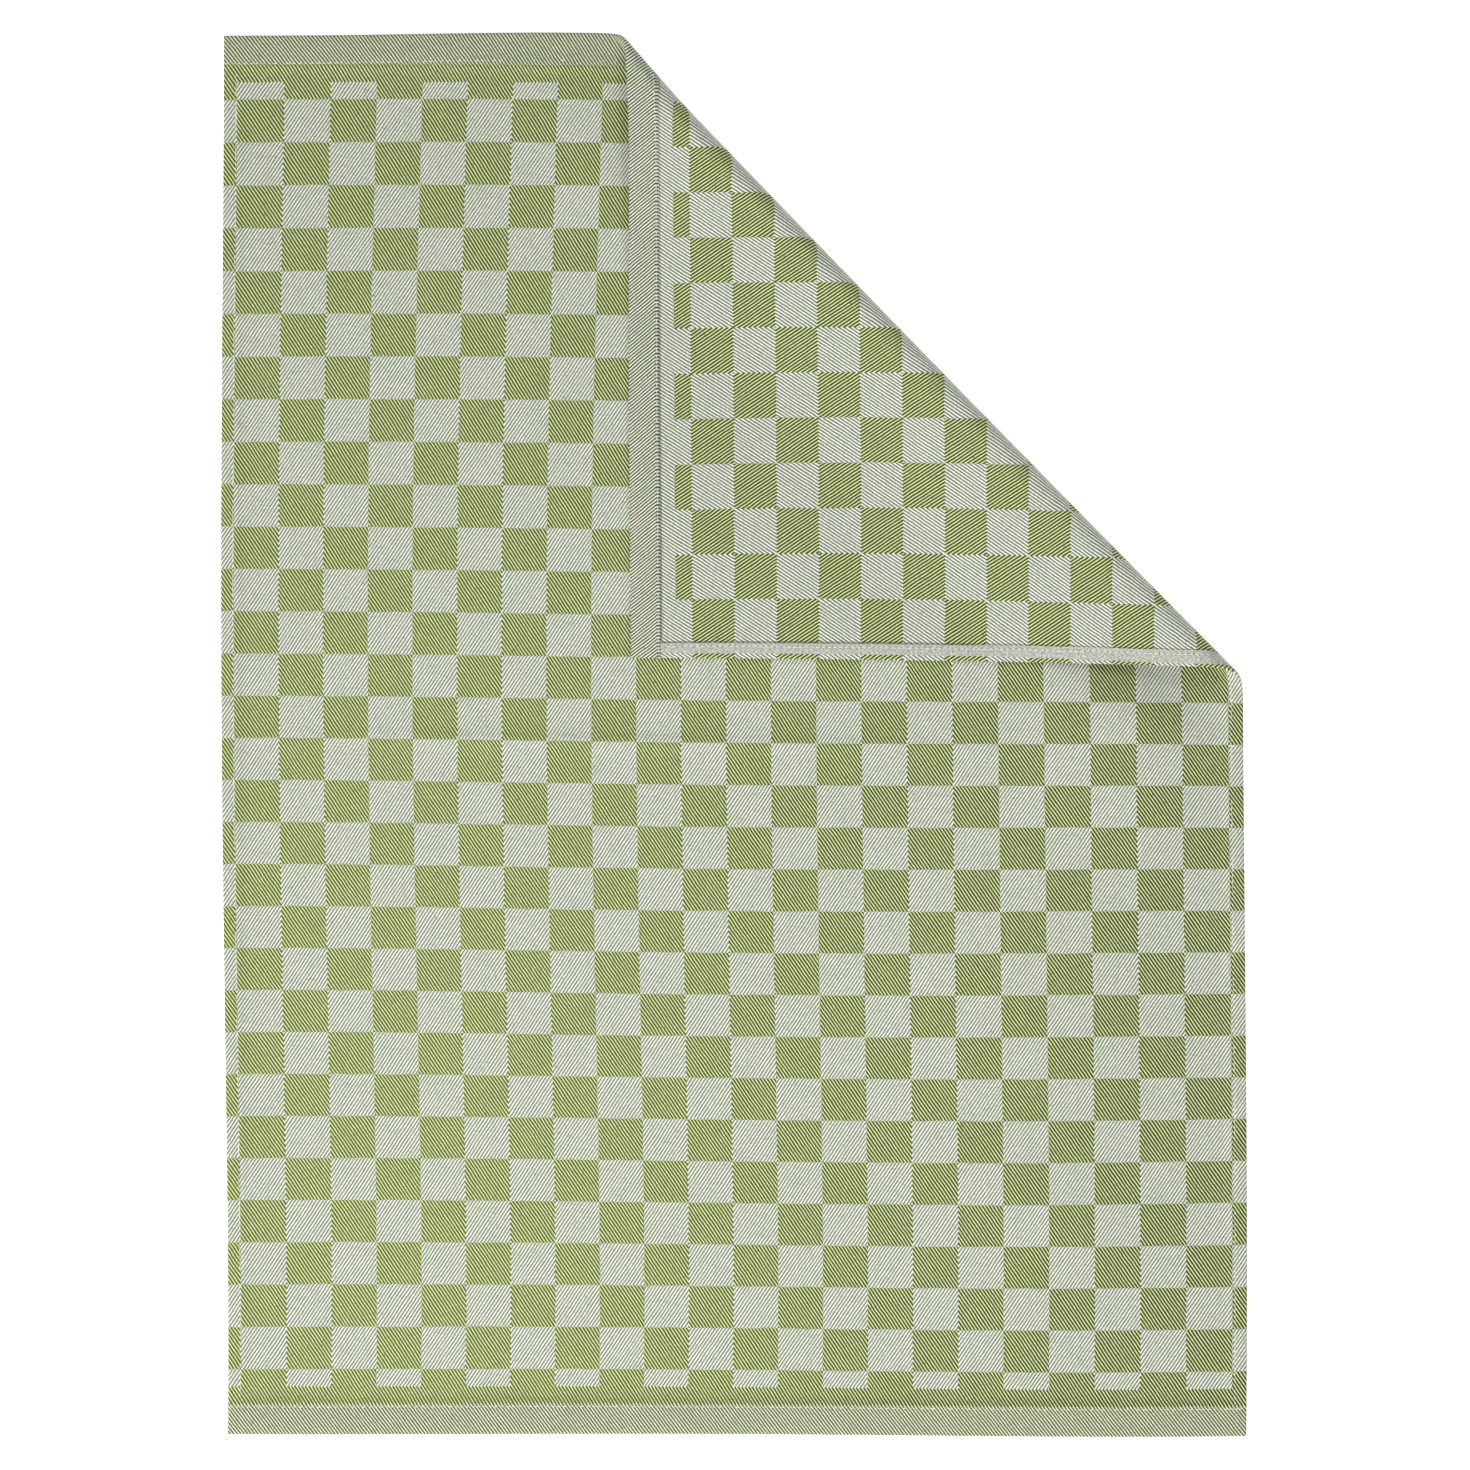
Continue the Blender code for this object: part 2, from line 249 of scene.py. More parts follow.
# Stitches.
STITCH_PITCH = 2.9 * MM
STITCH_LENGTH = 2.0 * MM
THREAD_RADIUS = 0.23 * MM
THREAD_TWIST = 900.0    # wave scale of its three plies
STITCH_RISE = 1.1       # in thread radii, how high a stitch arches and how far its ends dive from there
STITCH_DIVE = 5.2
STITCH_RINGS = 4
STITCH_SIDES = 5
STITCH_SUNK = (0.2 * MM, 0.27 * MM)     # how deep the thread is drawn in, on the reverse and on the face
LOOSE_END = 12 * MM     # at its right end the lower seam's thread lies loose on the face for this far
UNEVEN_SIZE = 2.3 * MM

# The photograph's frame, in plan from the flat towel's lower left corner.
FRAME_SIZE = 735 * MM
FRAME_MIDDLE = (255.5 * MM, 350 * MM)
CAMERA_HEIGHT = 4.0
SENSOR = 36             # in millimetres, as the camera takes it


def ease(value):
    """0 below 0, 1 above 1 and smooth between."""
    value = min(1.0, max(0.0, value))
    return value * value * (3 - 2 * value)


def through(places, values, at):
    """The smooth curve through a value at each place, read at one place."""
    total = 0.0
    for i, (place, value) in enumerate(zip(places, values)):
        weight = 1.0
        for j, other in enumerate(places):
            if j != i:
                weight *= (at - other) / (place - other)
        total += weight * value
    return total


def pull(table, u, v):
    """One component of the pull at a point of the cloth."""
    rows = [through(PULL_PLACES, row[1:], u) for row in table]
    return through([row[0] for row in table], rows, v)


def hem_spread(u):
    """How much wider the top hem is here."""
    wider = TOP_HEM_SPREAD[0].wider
    for row, following in zip(TOP_HEM_SPREAD, TOP_HEM_SPREAD[1:]):
        wider += (following.wider - row.wider) * ease((u - row.across) / (following.across - row.across))
    return wider


def plan(u, v):
    """Where a point of the cloth lies before the corner is folded."""
    in_top_hem = max(0.0, v - (LENGTH - END_TURN)) / END_TURN
    return u + pull(PULL_ACROSS, u, v), v + pull(PULL_ALONG, u, v) + hem_spread(u) * in_top_hem


def thickness(u, v, slope):
    """Thickness of the cloth with its hem layers, which fades over the given slope."""
    side_share = ease((SIDE_TURN + slope - min(u, WIDTH - u)) / slope)
    end_share = ease((END_TURN + slope - min(v, LENGTH - v)) / slope)
    side = side_share * (SIDE_HEM_THICK - CLOTH_THICK)
    end = end_share * (END_HEM_THICK - CLOTH_THICK)
    return CLOTH_THICK + max(side, end)


def off_end(u, v):
    """Distance from the nearer end of the towel, as it lies."""
    off_top = (LENGTH - v) * (1 + hem_spread(u) / END_TURN)
    return min(v, off_top)


def inset(u, v, thick):
    """How far both sides draw in towards the middle of the cloth, at its turned edges and its seams."""
    edge = min(u, WIDTH - u, v, LENGTH - v)
    half = thick / 2
    reach = max(0.0, half - edge) / half
    drawn = EDGE_ROUNDING * half * (1 - math.sqrt(1 - reach**2))
    for distance in (min(u, WIDTH - u) - SIDE_SEAM, off_end(u, v) - END_SEAM):
        drawn = max(drawn, SEAM_DEPTH * (1 - ease(abs(distance) / SEAM_HALF_WIDTH)))
    return drawn


def pucker(u, v):
    """Small waves along the seams."""
    height = 0.0
    for distance, along in ((min(u, WIDTH - u) - SIDE_SEAM, v), (off_end(u, v) - END_SEAM, u)):
        near = 1 - ease(abs(distance) / PUCKER_REACH)
        if near > 0:
            wander = PUCKER_WANDER * noise.noise(Vector((along / WANDER_LENGTH, WANDER_SEED, 0)))
            wave = 0.5 + 0.5 * math.sin(2 * math.pi * (along / PUCKER_LENGTH + wander))
            depth = 0.5 + 0.5 * noise.noise(Vector((along / FADE_LENGTH, FADE_SEED, 0)))
            height = max(height, PUCKER_HEIGHT * near * wave * depth)
    return height


def ridge_height(ridge, x, y):
    """How high one ridge is at this place in plan."""
    dx, dy = x - ridge.x, y - ridge.y
    along = (dx * math.cos(ridge.turn) + dy * math.sin(ridge.turn)) / ridge.half_length
    across = dy * math.cos(ridge.turn) - dx * math.sin(ridge.turn)
    across /= ridge.far_width if across > 0 else ridge.near_width
    if abs(along) >= 1 or abs(across) >= 1:
        return 0.0
    return ridge.height * (1 - along**2) ** 2 * math.cos(across * math.pi / 2) ** 2


def relief(x, y, in_flap):
    """How high the cloth is lifted at this place in plan: in_flap is 0 on the lower cloth, 1 on the flap."""
    rumple = 0.5 + 0.5 * noise.noise(Vector((x / RUMPLE_SIZE, y / RUMPLE_SIZE, RUMPLE_SEED)))
    height = sum(ridge_height(ridge, x, y) for ridge in RIDGES) + RUMPLE_HEIGHT * rumple
    return height + (1 - in_flap) * sum(ridge_height(bulge, x, y) for bulge in BULGES)


def along_fold(x, y):
    """Place along the fold, from 0 at the top end of the towel to 1 at its right edge."""
    top_x = (FOLD_START - LENGTH * FOLD_ALONG) / FOLD_ACROSS
    side_y = (FOLD_START - WIDTH * FOLD_ACROSS) / FOLD_ALONG
    start = top_x * FOLD_ALONG - LENGTH * FOLD_ACROSS
    end = WIDTH * FOLD_ALONG - side_y * FOLD_ACROSS
    return min(1.0, max(0.0, (x * FOLD_ALONG - y * FOLD_ACROSS - start) / (end - start)))


def fold_at(way):
    """How the cloth is folded at a place along the fold."""
    lift = LIFT_AT_TOP + (LIFT_AT_SIDE - LIFT_AT_TOP) * way
    landing = LANDING_AT_TOP + (LANDING_AT_SIDE - LANDING_AT_TOP) * way
    return Fold(lift, landing, ROLL_PINCH * (1 - ease(way / PINCH_REACH)))


def fold_lengths(thick, fold):
    """Lengths of cloth in the roll, in the slope and in the landing curve, and that curve's radius."""
    drop = (ROLL_OUTER - fold.pinch) * (1 + math.cos(fold.lift)) - (CLOTH_THICK + LAYER_GAP + thick)
    radius = min(fold.landing, LANDING_SHARE * drop / (1 - math.cos(fold.lift)))
    slope = (drop - radius * (1 - math.cos(fold.lift))) / math.sin(fold.lift)
    return (math.pi + fold.lift) * (ROLL_MIDDLE - fold.pinch), slope, radius * fold.lift, radius


def fold_profile(s, thick, fold):
    """The reverse, s along the cloth from the fold's start: how far past it, how high, and how far turned."""
    if s <= 0:
        return s, 0.0, 0.0
    roll, slope, landing, radius = fold_lengths(thick, fold)
    rest = CLOTH_THICK + LAYER_GAP + thick
    turn = min(s, roll) / (ROLL_MIDDLE - fold.pinch)
    past = (ROLL_OUTER - fold.pinch) * math.sin(turn)
    height = (ROLL_OUTER - fold.pinch) * (1 - math.cos(turn))
    if s > roll:
        down = min(s - roll, slope)
        past -= down * math.cos(fold.lift)
        height -= down * math.sin(fold.lift)
    if s > roll + slope:
        left = fold.lift - min(s - roll - slope, landing) / radius
        past -= radius * (math.sin(fold.lift) - math.sin(left))
        height = rest + radius * (1 - math.cos(left))
        turn = math.pi + left
    if s > roll + slope + landing:
        past -= s - roll - slope - landing
    return past, height, turn


def lie(u, v, share, out=0.0):
    """Where a point of the cloth lies: share is 0 on the reverse and 1 on the face, out is outwards of it."""
    x, y = plan(u, v)
    way = along_fold(x, y)
    fold = fold_at(way)
    start = FOLD_START - 4 * FOLD_BOW * way * (1 - way) + math.pi / 2 * fold.pinch
    s = x * FOLD_ACROSS + y * FOLD_ALONG - start
    turned = min(1.0, max(0.0, s / (math.pi * (ROLL_MIDDLE - fold.pinch))))
    thick = thickness(u, v, FACE_SLOPE + (TURN_SLOPE - FACE_SLOPE) * turned)
    past, z, turn = fold_profile(s, thick, fold)
    drawn = inset(u, v, thick)
    depth = drawn + share * (thick - 2 * drawn) + (out if share else -out)
    past -= depth * math.sin(turn)
    z += depth * math.cos(turn)
    x += (past - s) * FOLD_ACROSS
    y += (past - s) * FOLD_ALONG
    return Vector((x, y, max(0.0, z + relief(x, y, turned) + pucker(u, v))))


def cut(sheet, point, normal):
    """Cuts the flat sheet along a line."""
    everything = sheet.verts[:] + sheet.edges[:] + sheet.faces[:]
    bmesh.ops.bisect_plane(
        sheet, geom=everything, dist=SAME_POINT, plane_co=(*point, 0), plane_no=(*normal, 0)
    )


def flat_sheet():
    """The cloth drawn flat, with finer rows at its edges, seams and hems, its crease and its fold."""
    sheet = bmesh.new()
    bmesh.ops.create_grid(sheet, x_segments=CELLS_ACROSS, y_segments=CELLS_ALONG, size=0.5)
    for vert in sheet.verts:
        vert.co.x = (vert.co.x + 0.5) * WIDTH
        vert.co.y = (vert.co.y + 0.5) * LENGTH
    for axis, length, seam, turn in ((0, WIDTH, SIDE_SEAM, SIDE_TURN), (1, LENGTH, END_SEAM, END_TURN)):
        places = [*EDGE_CUTS, *(seam + offset for offset in SEAM_CUTS)]
        places += [turn, turn + TURN_SLOPE, turn + FACE_SLOPE / 2, turn + FACE_SLOPE]
        normal = (1 - axis, axis)
        for place in places:
            for at in (place, length - place):
                cut(sheet, (at * normal[0], at * normal[1]), normal)
    for i in range(CREASE_STEPS + 1):
        cut(sheet, (0, CREASE_PLACE + CREASE_REACH * (2 * i / CREASE_STEPS - 1)), (0, 1))
    roll, slope, landing, _ = fold_lengths(CLOTH_THICK, fold_at(0.5))
    reaches = [roll * i / ROLL_STEPS for i in range(ROLL_STEPS + 1)]
    reaches += [roll + slope + landing * i / LANDING_STEPS for i in range(LANDING_STEPS + 1)]
    for reach in reaches:
        along = FOLD_START + reach
        cut(sheet, (along * FOLD_ACROSS, along * FOLD_ALONG), (FOLD_ACROSS, FOLD_ALONG))
    return sheet


def finished(mesh, name, *materials):
    """The object for a mesh whose points are already in place, with its materials and smooth shading."""
    for material in materials:
        mesh.materials.append(material)
    mesh.shade_smooth()
    mesh.set_sharp_from_angle(angle=SHARP_EDGE)
    piece = bpy.data.objects.new(name, mesh)
    bpy.context.scene.collection.objects.link(piece)
    return piece


def build_cloth(face_material, reverse_material):
    """The towel: a reverse and a face over the same flat points, joined by a wall along the outline."""
    flat = flat_sheet()
    flat.verts.index_update()
    flat_places = [(vert.co.x, vert.co.y) for vert in flat.verts]
    cells = [[vert.index for vert in cell.verts] for cell in flat.faces]
    rim = [
        [loop.vert.index, loop.link_loop_next.vert.index]
        for edge in flat.edges if edge.is_boundary for loop in edge.link_loops
    ]
    flat.free()
    cloth = bmesh.new()
    uv_layer = cloth.loops.layers.uv.new("cloth metres")
    sides = [[cloth.verts.new(lie(u, v, share)) for u, v in flat_places] for share in (0, 1)]
    reverse, face = sides
    corners = {}
    for side in sides:
        corners.update(zip(side, flat_places))
    for cell in cells:
        cloth.faces.new([reverse[i] for i in reversed(cell)]).material_index = 1
        cloth.faces.new([face[i] for i in cell])
    for start, end in rim:
        cloth.faces.new([reverse[start], reverse[end], face[end], face[start]])
    for polygon in cloth.faces:
        for loop in polygon.loops:
            loop[uv_layer].uv = corners[loop.vert]
    bmesh.ops.recalc_face_normals(cloth, faces=cloth.faces)
    mesh = bpy.data.meshes.new("towel_cloth")
    cloth.to_mesh(mesh)
    cloth.free()
    return finished(mesh, "towel_cloth", face_material, reverse_material)


def stitch_places():
    """Each stitch's middle, its direction and its side, along the four seams."""
    for share in (0, 1):
        for u in (SIDE_SEAM, WIDTH - SIDE_SEAM):
            for i in range(int((LENGTH - 2 * END_TURN) / STITCH_PITCH)):
                yield u, END_TURN + (i + 0.5) * STITCH_PITCH, (0, 1), share
        for i in range(int(WIDTH / STITCH_PITCH)):
            u = (i + 0.5) * STITCH_PITCH
            yield u, END_SEAM, (1, 0), share
            yield u, LENGTH - END_SEAM / (1 + hem_spread(u) / END_TURN), (1, 0), share


def build_stitches(thread_material):
    """Every visible length of sewing thread, arched over the cloth and diving into it at both ends."""
    seams = bmesh.new()
    for u, v, (du, dv), share in stitch_places():
        uneven = noise.noise(Vector((u, v, share)) / UNEVEN_SIZE)
        loose = share and v < END_TURN and u > WIDTH - LOOSE_END
        length, sunk = (STITCH_PITCH, 0) if loose else (STITCH_LENGTH, STITCH_SUNK[share])
        previous = None
        for i in range(STITCH_RINGS):
            along = (i / (STITCH_RINGS - 1) - 0.5) * length
            arch = THREAD_RADIUS * (STITCH_RISE + uneven - STITCH_DIVE * (along / length) ** 2) - sunk
            ring = []
            for j in range(STITCH_SIDES):
                angle = 2 * math.pi * j / STITCH_SIDES
                across = THREAD_RADIUS * math.cos(angle)
                out = arch + THREAD_RADIUS * math.sin(angle)
                place = lie(u + along * du - across * dv, v + along * dv + across * du, share, out)
                ring.append(seams.verts.new(place))
            if previous:
                for j in range(STITCH_SIDES):
                    k = (j + 1) % STITCH_SIDES
                    seams.faces.new([previous[j], previous[k], ring[k], ring[j]])
            else:
                seams.faces.new(list(reversed(ring)))
            previous = ring
        seams.faces.new(previous)
    bmesh.ops.recalc_face_normals(seams, faces=seams.faces)
    mesh = bpy.data.meshes.new("hem_stitches")
    seams.to_mesh(mesh)
    seams.free()
    return finished(mesh, "hem_stitches", thread_material)


def linear(hex_colour):
    """An sRGB hex colour as the linear values that shaders take."""
    values = [int(hex_colour[i:i + 2], 16) / 255 for i in (1, 3, 5)]
    return (*(c / 12.92 if c <= 0.04045 else ((c + 0.055) / 1.055) ** 2.4 for c in values), 1)


def new_material(name):
    """A material with its shader, and the function that adds a node with settings and inputs to it."""
    material = bpy.data.materials.new(name)
    material.use_nodes = True
    tree = material.node_tree

    def add(kind, *inputs, named=None, **settings):
        made = tree.nodes.new("ShaderNode" + kind)
        for key, value in settings.items():
            setattr(made, key, value)
        for key, value in [*enumerate(inputs), *(named or {}).items()]:
            if isinstance(value, bpy.types.NodeSocket):
                tree.links.new(value, made.inputs[key])
            elif value is not None:
                made.inputs[key].default_value = value
        return made.outputs[0] if len(made.outputs) == 1 else made.outputs

    return material, tree.nodes["Principled BSDF"], add, tree.links.new


# What the weave is at a place: 1 where the check shows its warp, 1 between the turned ends and 1 in them,
# the place counted in ends and in picks, the picks to the metre, the numbers of its two threads, how many of
# the twill's steps show the warp, which way the diagonal runs, and 1 where the warp is up.
Weave = namedtuple(
    "Weave", "warp_faced body hem end pick picks end_number pick_number warp_steps way warp_up"
)


def check_layout(add, u, v, reverse):
    """Checks by column and row and two plain bands, 1 where they show the warp, and the body between the
    turned ends, with the heights at which it starts and stops."""

    def between(value, low, high):
        above = add("Math", value, low, operation="GREATER_THAN")
        return add("Math", above, add("Math", value, high, operation="LESS_THAN"), operation="MULTIPLY")

    column = add("Math", u, 1 / COLUMN, -FIRST_COLUMN / COLUMN, operation="MULTIPLY_ADD")
    column = add("Math", column, operation="FLOOR")
    row = add("Math", v, 1 / ROW, -FIRST_ROW / ROW, operation="MULTIPLY_ADD")
    row = add("Clamp", add("Math", row, operation="FLOOR"), -1, LAST_ROW)
    if reverse:
        # The sliver of face cloth that wraps the side edge has the colours of the column beside it.
        column = add("Clamp", column, 0, LAST_COLUMN - 1)
    odd = add("Math", add("Math", column, row, operation="ADD"), 2, operation="FLOORED_MODULO")
    band = add("Math", between(v, *BAND_LOW), between(v, *BAND_HIGH), operation="MAXIMUM")
    warp_faced = add("Math", odd, band, operation="MAXIMUM")
    low, high = BAND_LOW[0], BAND_HIGH[1]
    if reverse:
        warp_faced = add("Math", 1.0, warp_faced, operation="SUBTRACT")
        low, high = END_TURN, LENGTH - END_TURN
    return warp_faced, between(v, low, high), low, high


def woven(add, u, v, reverse):
    """The weave at a place: its check, its threads and which of them is up."""
    warp_faced, body, low, high = check_layout(add, u, v, reverse)
    hem = add("Math", 1.0, body, operation="SUBTRACT")

    # The picks are counted from the lower end's hem, so that the twill lines run on into the hems.
    end = add("Math", u, 1 / END_PITCH, operation="MULTIPLY")
    inside = add("Clamp", v, low, high)
    outside = add("Math", v, inside, operation="SUBTRACT")
    if reverse:
        outside = add("Math", outside, add("Clamp", outside, -LADDER, LADDER), operation="SUBTRACT")
    picks = BODY_PICKS / (high - low)
    pick = add("Math", inside, picks, -low * picks, operation="MULTIPLY_ADD")
    pick = add("Math", outside, 1 / HEM_PICK_PITCH, pick, operation="MULTIPLY_ADD")
    end_number = add("Math", end, operation="FLOOR")
    pick_number = add("Math", pick, operation="FLOOR")

    # The warp is up in 3 of the twill's 4 steps in green checks, in 1 in pale ones and in 2 in the ends.
    warp_steps = add("Math", warp_faced, 2.0, 1.0, operation="MULTIPLY_ADD")
    warp_steps = add("Mix", hem, named={2: warp_steps, 3: 2.0})[0]

    # The diagonal falls to the right where the face shows its warp and in the ends, and else it rises.
    # The turned ends show the face again, seen the other way round.
    falling = add("Math", warp_faced, hem, operation="MAXIMUM")
    if reverse:
        falling = add("Math", 1.0, falling, operation="SUBTRACT")
    way = add("Math", falling, 2.0, -1.0, operation="MULTIPLY_ADD")
    step = add("Math", pick_number, way, end_number, operation="MULTIPLY_ADD")
    step = add("Math", step, TWILL_STEPS, operation="FLOORED_MODULO")
    warp_up = add("Math", step, add("Math", warp_steps, 0.5, operation="SUBTRACT"), operation="LESS_THAN")
    return Weave(warp_faced, body, hem, end, pick, picks, end_number, pick_number, warp_steps, way, warp_up)


def twill_lines(add, weave, place, reverse):
    """How high the twill line is here, from 1 on its lit crest to -1 in its furrow, and the painted light
    that it
    gives: the furrows are painted in shade.  Each float bulges in its middle, so the crests lie over the
    floats."""
    pick = add("Math", weave.pick, 0.5, operation="SUBTRACT")
    crossing = add("Math", pick, weave.way, weave.end, operation="MULTIPLY_ADD")
    crest = add("Math", weave.warp_steps, 0.5, 0.5 * TWILL_STEPS, operation="MULTIPLY_ADD")
    turn = add("Math", add("Math", crossing, crest, operation="SUBTRACT"), 2 * math.pi / TWILL_STEPS,
               operation="MULTIPLY")
    wale = add("Math", add("Math", turn, operation="COSINE"), CREST_WIDTH, operation="MULTIPLY")
    if reverse:
        wide = add("Math", weave.warp_steps, -WIDE_FLOATS / 2, 1.5 * WIDE_FLOATS, operation="MULTIPLY_ADD")
        wale = add("Math", wale, wide, operation="ADD")
    wale = add("Clamp", wale, -1.0, 1.0)
    furrow = REVERSE_FURROW_SHADE if reverse else FACE_FURROW_SHADE
    green_furrow_shade = furrow.warp
    # The painted shade in the green furrows on the face grows darker to the right and to the top end.
    if not reverse:
        across = add("Math", place[0], place[0], operation="MULTIPLY")
        green_furrow_shade = add("Math", across, FURROW_SHADE_GROWTH[0] / WIDTH**2, furrow.warp, operation="MULTIPLY_ADD")
        green_furrow_shade = add("Math", place[1], FURROW_SHADE_GROWTH[1] / LENGTH, green_furrow_shade, operation="MULTIPLY_ADD")
    depth = add("Mix", weave.warp_faced, named={2: furrow.weft, 3: green_furrow_shade})[0]
    depth = add("Mix", weave.hem, named={2: depth, 3: HEM_FURROW_SHADE[reverse]})[0]
    depth = add("Math", depth, 0.5, operation="MULTIPLY")
    light = add("Math", add("Math", wale, 1.0, operation="SUBTRACT"), depth, 1.0, operation="MULTIPLY_ADD")
    return wale, add("Math", light, DARKEST, operation="MAXIMUM")


def round_threads(add, weave):
    """1 on the middle of the thread that is up and lower towards its sides: the painted shade of its
    rounding.
    """
    across_end = add("Math", weave.end, operation="FRACT")
    across_pick = add("Math", weave.pick, operation="FRACT")
    across = add("Mix", weave.warp_up, named={2: across_pick, 3: across_end})[0]
    across = add("Math", across, 0.5, operation="SUBTRACT")
    return add("Math", add("Math", across, across, operation="MULTIPLY"), -4 * THREAD_SIDE_SHADE, 1.0,
               operation="MULTIPLY_ADD")


def thread_tone(add, weave, cloth):
    """Each thread is a little lighter or darker than the next along some of its length, and so is each
    crossing.  A few crossings are dark flecks."""
    slubs = []
    for stretch in ((1 / END_PITCH, 1 / SLUB_LENGTH, 0), (1 / SLUB_LENGTH, weave.picks, 0)):
        stretched = add("VectorMath", cloth, stretch, operation="MULTIPLY")[0]
        slubs.append(add("TexNoise", named={"Vector": stretched, "Scale": 1.0, "Detail": 1.0})[0])
    slub = add("Mix", weave.warp_up, named={2: slubs[1], 3: slubs[0]})[0]
    slub = add("Math", slub, 2 * SLUB_SHADE, 1 - SLUB_SHADE, operation="MULTIPLY_ADD")
    chance = add("TexWhiteNoise", add("CombineXYZ", weave.end_number, weave.pick_number))[0]
    grain = add("Math", chance, 2 * GRAIN, 1 - GRAIN, operation="MULTIPLY_ADD")
    fleck = add("Math", chance, FLECKS, operation="LESS_THAN")
    fleck = add("Math", fleck, -FLECK_SHADE, 1.0, operation="MULTIPLY_ADD")
    return add("Math", add("Math", slub, grain, operation="MULTIPLY"), fleck, operation="MULTIPLY")


def yarn_colour(add, weave, cloth, reverse):
    """Green and white threads, mixed by the light between them.  The turned ends show little of the green."""
    patches = add("TexNoise", named={"Vector": cloth, "Scale": 1 / PATCH_SIZE, "Detail": 2.0})[0]
    warp = add("Mix", patches, named={6: linear(WARP_GREEN), 7: linear(WARP_OLIVE)}, data_type="RGBA")[2]
    patches = add("Math", patches, COOL_EDGE, (1 - COOL_EDGE) / 2, operation="MULTIPLY_ADD", use_clamp=True)
    weft = add("Mix", patches, named={6: linear(WEFT_WHITE), 7: linear(WEFT_COOL)}, data_type="RGBA")[2]
    green = add("Math", weave.warp_up, 1 - BLEED, operation="MULTIPLY")
    green = add("Math", weave.warp_steps, BLEED / TWILL_STEPS, green, operation="MULTIPLY_ADD")
    hem_green = add("Math", weave.warp_up, HEM_TINT, HEM_GREEN[reverse], operation="MULTIPLY_ADD")
    green = add("Mix", weave.hem, named={2: green, 3: hem_green})[0]
    return add("Mix", green, named={6: weft, 7: warp}, data_type="RGBA")[2]


def show_selvedge(add, weave, cloth, edge, v, colour, light):
    """The woven selvedge shows on the turned side hems, speckled white and grey, with painted shade in the
    seam's needle holes.
    Past it a sliver of the face wraps the edge.  edge is the distance from the towel's middle line."""
    growth = (WRAP[1] - WRAP[0]) / (WRAP_SPAN[1] - WRAP_SPAN[0])
    wrap = add("Math", v, growth, WRAP[0] - WRAP_SPAN[0] * growth, operation="MULTIPLY_ADD")
    wrap = add("Math", WIDTH / 2, add("Clamp", wrap, *WRAP), operation="SUBTRACT")
    selvedge = add("Math", edge, WIDTH / 2 - SIDE_TURN, operation="GREATER_THAN")
    selvedge = add("Math", selvedge, add("Math", edge, wrap, operation="LESS_THAN"), operation="MULTIPLY")
    selvedge = add("Math", selvedge, weave.body, operation="MULTIPLY")
    speckle = add("TexNoise", named={
        "Vector": cloth, "Scale": 1 / SPECKLE_SIZE, "Detail": 3.0, "Roughness": 0.8})[0]
    plain = add("Mix", speckle, named={
        6: linear(SELVEDGE_GREY), 7: linear(SELVEDGE_WHITE)}, data_type="RGBA")[2]
    colour = add("Mix", selvedge, named={6: colour, 7: plain}, data_type="RGBA")[2]
    speckle = add("Math", speckle, SPECKLE, 1 - SPECKLE / 2, operation="MULTIPLY_ADD")
    off_seam = add("Math", edge, WIDTH / 2 - SIDE_SEAM, operation="SUBTRACT")
    off_seam = add("Math", off_seam, operation="ABSOLUTE")
    # Painted shade: the needle holes along the seam are painted dark.
    on_seam = add("Math", off_seam, NEEDLE_HOLE / 2, operation="LESS_THAN")
    gap = add("Math", v, -END_TURN, operation="ADD")
    gap = add("Math", gap, STITCH_PITCH, operation="FLOORED_MODULO")
    hole = add("Math", on_seam, add("Math", gap, NEEDLE_HOLE, operation="LESS_THAN"), operation="MULTIPLY")
    hole = add("Math", hole, -HOLE_SHADE, 1.0, operation="MULTIPLY_ADD")
    speckle = add("Math", speckle, hole, operation="MULTIPLY")
    return colour, add("Mix", selvedge, named={2: light, 3: speckle})[0]


def paint_turn_shade(add, edge, v, light):
    """Painted shade: a thin shade is painted along the turned edges of the hems on the reverse."""
    off_end = add("Math", add("Math", v, -LENGTH / 2, operation="ADD"), operation="ABSOLUTE")
    off_end = add("Math", off_end, LENGTH / 2 - END_TURN, operation="SUBTRACT")
    off_side = add("Math", edge, WIDTH / 2 - SIDE_TURN, operation="SUBTRACT")
    off_turn = add("Math", off_end, off_side, operation="MAXIMUM")
    off_turn = add("Math", add("Math", off_turn, TURN_SLOPE, operation="ADD"), operation="ABSOLUTE")
    lit = add("Math", off_turn, TURN_SHADE / TURN_SHADE_REACH, 1 - TURN_SHADE, operation="MULTIPLY_ADD")
    return add("Math", light, add("Clamp", lit), operation="MULTIPLY")


